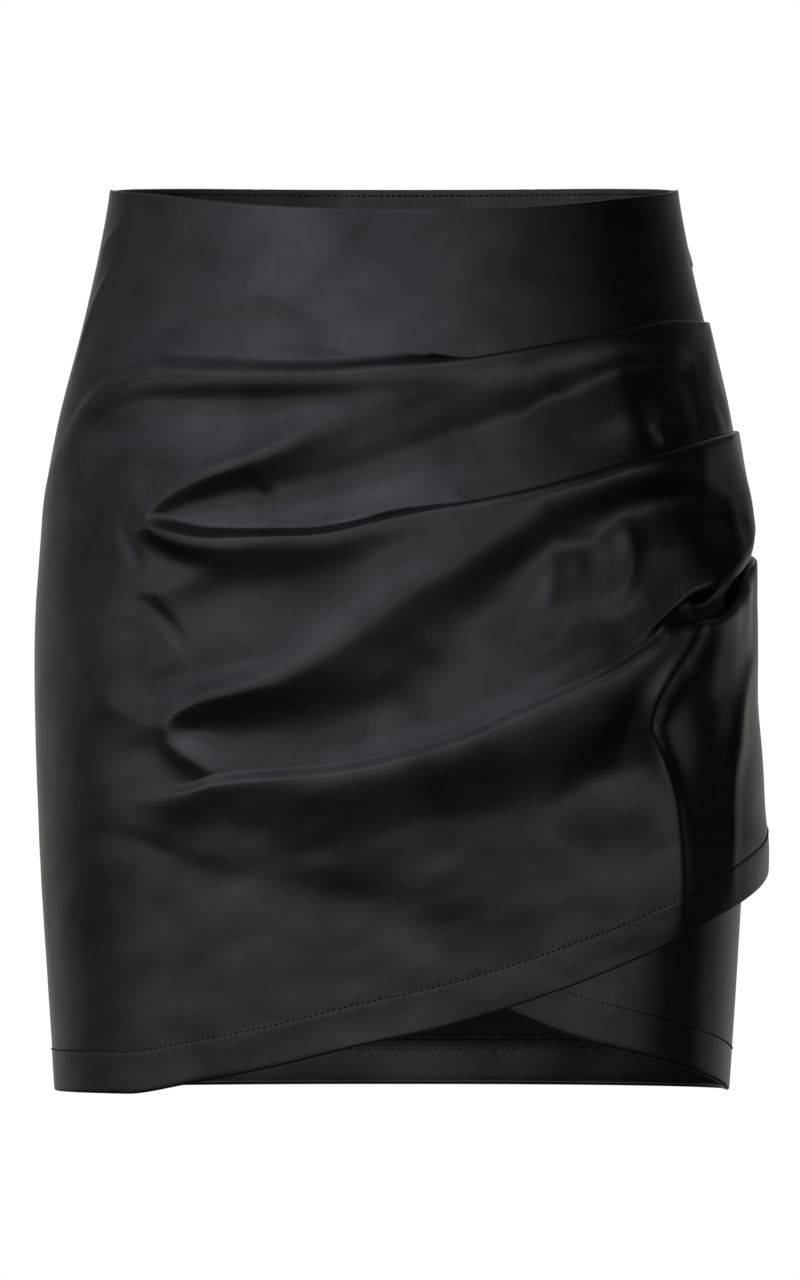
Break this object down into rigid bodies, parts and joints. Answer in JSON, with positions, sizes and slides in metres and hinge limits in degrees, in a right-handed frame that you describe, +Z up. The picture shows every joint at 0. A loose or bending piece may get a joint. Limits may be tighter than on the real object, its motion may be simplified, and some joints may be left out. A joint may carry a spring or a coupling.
{
  "type": "faux leather wrap mini skirt",
  "caption": "Short fitted leather-look skirt with a draped, pleated wrap front, a slanting hem and a side zip, in its worn shape with no wearer.",
  "frame": {"origin": "middle of the waist opening, where the wearer's waist holds the skirt", "axes": "+Z up, out of the waist, along the length; +X towards the side seam with the zip; the front faces -Y"},
  "size_m": [0.3342, 0.2444, 0.4103],
  "materials": {
    "leather": "soft black coated leather with a low sheen",
    "facing": "the same cloth, smooth side in",
    "tape": "woven black tape",
    "lacquer": "black lacquer"
  },
  "bodies": {
    "skirt": {"over_front": "leather", "under_front": "leather", "back": "leather", "waist_facing": "facing", "zip_tape": "tape", "zip_slider": "lacquer"},
    "pull": {"zip_pull": "lacquer"}
  },
  "joints": [
    {"name": "pull_hinge", "type": "hinge", "parent": "skirt", "child": "pull", "pos_m": [0.131, 0.01277, -0.01521], "axis": [0.158, -0.9874, 0], "range_deg": [0, 150]}
  ]
}
